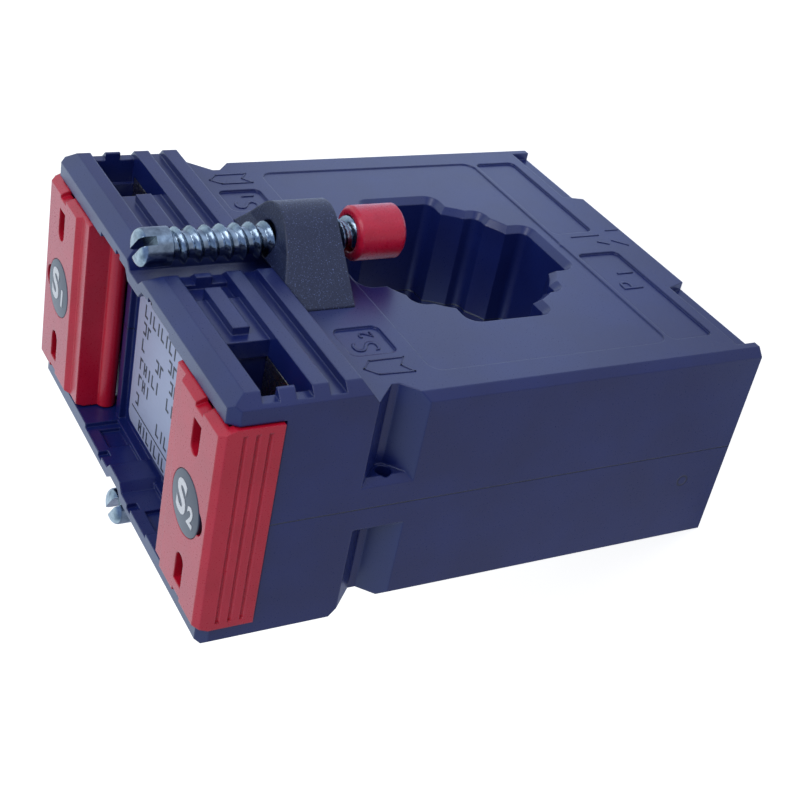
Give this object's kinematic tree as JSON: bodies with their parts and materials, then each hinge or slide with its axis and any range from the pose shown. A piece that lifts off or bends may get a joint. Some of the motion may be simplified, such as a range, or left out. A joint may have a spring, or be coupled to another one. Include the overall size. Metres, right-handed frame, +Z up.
{
  "type": "window-type current transformer",
  "caption": "Window-type current transformer with stepped bar window, screw clamps, two hinged terminal covers and a label well.",
  "frame": {"origin": "centre of the foot face, under the middle of the housing", "axes": "+Z up from the foot to the terminals, +X towards the S1 terminal, Y along the primary conductor with the front face at -Y"},
  "size_m": [0.0608, 0.0474, 0.0747],
  "materials": {
    "housing_plastic": "moulded polycarbonate, satin",
    "core_steel": "strip-wound silicon steel",
    "cup_plastic": "moulded polyamide",
    "enamelled_copper": "enamelled copper wire",
    "winding_tape": "polyester tape",
    "rail_brass": "nickel-plated brass",
    "clamp_steel": "zinc-plated steel",
    "terminal_steel": "zinc-plated steel",
    "cover_plastic": "moulded polycarbonate, satin gloss",
    "marker_plastic": "pad-printed polycarbonate",
    "label_film": "matt silver polyester film",
    "clip_plastic": "glass-filled polyamide, spark-eroded texture",
    "cap_plastic": "moulded polyethylene",
    "clamp_screw_steel": "zinc-plated and blue-passivated steel"
  },
  "bodies": {
    "housing": {"front_shell": "housing_plastic", "rear_shell": "housing_plastic", "strip_core": "core_steel", "front_core_cup": "cup_plastic", "rear_core_cup": "cup_plastic", "secondary_winding": "enamelled_copper", "winding_tape": "winding_tape", "lead_s1": "enamelled_copper", "lead_s2": "enamelled_copper", "rail_s1": "rail_brass", "rail_s2": "rail_brass", "rating_label": "label_film", "front_clip": "clip_plastic", "rear_clip": "clip_plastic"},
    "cover_s1": {"cover_s1": "cover_plastic", "marker_s1": "marker_plastic"},
    "cover_s2": {"cover_s2": "cover_plastic", "marker_s2": "marker_plastic"},
    "clamp_s1_front": {"clamp_plate_s1_front": "clamp_steel"},
    "screw_s1_front": {"terminal_screw_s1_front": "terminal_steel"},
    "clamp_s1_rear": {"clamp_plate_s1_rear": "clamp_steel"},
    "screw_s1_rear": {"terminal_screw_s1_rear": "terminal_steel"},
    "clamp_s2_front": {"clamp_plate_s2_front": "clamp_steel"},
    "screw_s2_front": {"terminal_screw_s2_front": "terminal_steel"},
    "clamp_s2_rear": {"clamp_plate_s2_rear": "clamp_steel"},
    "screw_s2_rear": {"terminal_screw_s2_rear": "terminal_steel"},
    "front_cap": {"front_cap": "cap_plastic"},
    "front_screw": {"front_clamp_screw": "clamp_screw_steel"},
    "rear_cap": {"rear_cap": "cap_plastic"},
    "rear_screw": {"rear_clamp_screw": "clamp_screw_steel"}
  },
  "joints": [
    {"name": "cover_s1_hinge", "type": "hinge", "parent": "housing", "child": "cover_s1", "pos_m": [0.0162, 0, 0.0696], "axis": [0, -1, 0], "range_deg": [0, 90]},
    {"name": "cover_s2_hinge", "type": "hinge", "parent": "housing", "child": "cover_s2", "pos_m": [-0.0162, 0, 0.0696], "axis": [0, 1, 0], "range_deg": [0, 90]},
    {"name": "clamp_s1_front_slide", "type": "slide", "parent": "housing", "child": "clamp_s1_front", "axis": [0, 0, -1], "range_m": [0, 0.0045]},
    {"name": "screw_s1_front_spin", "type": "hinge", "parent": "clamp_s1_front", "child": "screw_s1_front", "pos_m": [0.0236, -0.0095, 0.07], "axis": [0, 0, -1], "continuous": true},
    {"name": "clamp_s1_rear_slide", "type": "slide", "parent": "housing", "child": "clamp_s1_rear", "axis": [0, 0, -1], "range_m": [0, 0.0045]},
    {"name": "screw_s1_rear_spin", "type": "hinge", "parent": "clamp_s1_rear", "child": "screw_s1_rear", "pos_m": [0.0236, 0.0095, 0.07], "axis": [0, 0, -1], "continuous": true},
    {"name": "clamp_s2_front_slide", "type": "slide", "parent": "housing", "child": "clamp_s2_front", "axis": [0, 0, -1], "range_m": [0, 0.0045]},
    {"name": "screw_s2_front_spin", "type": "hinge", "parent": "clamp_s2_front", "child": "screw_s2_front", "pos_m": [-0.0236, -0.0095, 0.07], "axis": [0, 0, -1], "continuous": true},
    {"name": "clamp_s2_rear_slide", "type": "slide", "parent": "housing", "child": "clamp_s2_rear", "axis": [0, 0, -1], "range_m": [0, 0.0045]},
    {"name": "screw_s2_rear_spin", "type": "hinge", "parent": "clamp_s2_rear", "child": "screw_s2_rear", "pos_m": [-0.0236, 0.0095, 0.07], "axis": [0, 0, -1], "continuous": true},
    {"name": "front_clamp_slide", "type": "slide", "parent": "housing", "child": "front_cap", "axis": [0, 0, -1], "range_m": [-0.0034, 0.0113]},
    {"name": "front_screw_spin", "type": "hinge", "parent": "front_cap", "child": "front_screw", "pos_m": [0, -0.0191, 0.06], "axis": [0, 0, -1], "continuous": true},
    {"name": "rear_clamp_slide", "type": "slide", "parent": "housing", "child": "rear_cap", "axis": [0, 0, -1], "range_m": [-0.0034, 0.0113]},
    {"name": "rear_screw_spin", "type": "hinge", "parent": "rear_cap", "child": "rear_screw", "pos_m": [0, 0.0191, 0.06], "axis": [0, 0, -1], "continuous": true}
  ],
  "couplings": [
    {"joint": "screw_s1_front_spin", "follows": "clamp_s1_front_slide", "rad_per_m": 7854},
    {"joint": "screw_s1_rear_spin", "follows": "clamp_s1_rear_slide", "rad_per_m": 7854},
    {"joint": "screw_s2_front_spin", "follows": "clamp_s2_front_slide", "rad_per_m": 7854},
    {"joint": "screw_s2_rear_spin", "follows": "clamp_s2_rear_slide", "rad_per_m": 7854},
    {"joint": "front_screw_spin", "follows": "front_clamp_slide", "rad_per_m": 3306.9},
    {"joint": "rear_screw_spin", "follows": "rear_clamp_slide", "rad_per_m": 3306.9}
  ]
}
